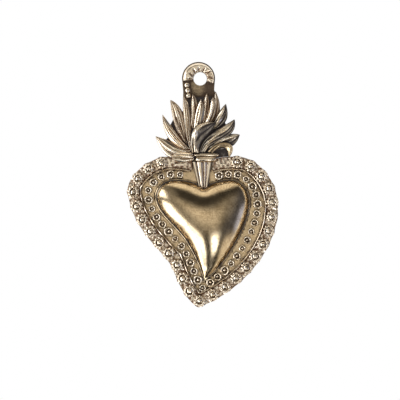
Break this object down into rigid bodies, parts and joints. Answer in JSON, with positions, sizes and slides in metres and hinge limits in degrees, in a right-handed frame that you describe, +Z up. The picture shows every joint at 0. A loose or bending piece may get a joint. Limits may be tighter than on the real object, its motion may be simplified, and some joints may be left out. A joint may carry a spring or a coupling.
{
  "type": "sacred heart charm",
  "caption": "Flat-backed brass ex-voto charm: puffed heart in a rosette border, flame leaves above a fluted stem, and a pierced hanging tab with a rope rim.",
  "frame": {"origin": "centre of the hanging hole, on the flat back face", "axes": "+Z up toward the top of the tab, -Y toward the decorated front, +X to the viewer's right; hangs upright with its back at y = 0"},
  "size_m": [0.0455, 0.0062, 0.0735],
  "materials": {
    "sheet": "dull patinated brass sheet",
    "border": "aged brass, dark in the recesses",
    "grains": "worn pale brass over dark patina",
    "heart": "satin polished aged brass",
    "flames": "aged brass with worn bright ribs",
    "dark_flames": "brown-black patinated brass"
  },
  "bodies": {
    "root": {"base_plate": "sheet", "border_strip": "border", "border_rosettes": "grains", "divider_wire": "border", "large_curls": "grains", "small_curls": "grains", "heart_shell": "heart", "stem": "flames", "lower_collar": "flames", "upper_collar": "flames", "flame_plate": "dark_flames", "flame_core": "dark_flames", "left_low_leaf": "flames", "left_low_curl": "flames", "left_mid_leaf": "flames", "left_inner_leaf": "flames", "left_high_leaf": "flames", "left_spine": "flames", "core_leaf_1": "dark_flames", "core_leaf_2": "flames", "core_leaf_3": "dark_flames", "core_leaf_4": "flames", "core_leaf_5": "dark_flames", "right_high_leaf": "dark_flames", "right_mid_leaf": "dark_flames", "right_low_leaf": "dark_flames", "right_low_curl": "flames", "front_leaf": "flames", "tab_rope": "grains", "tab_beads": "grains"}
  },
  "joints": []
}
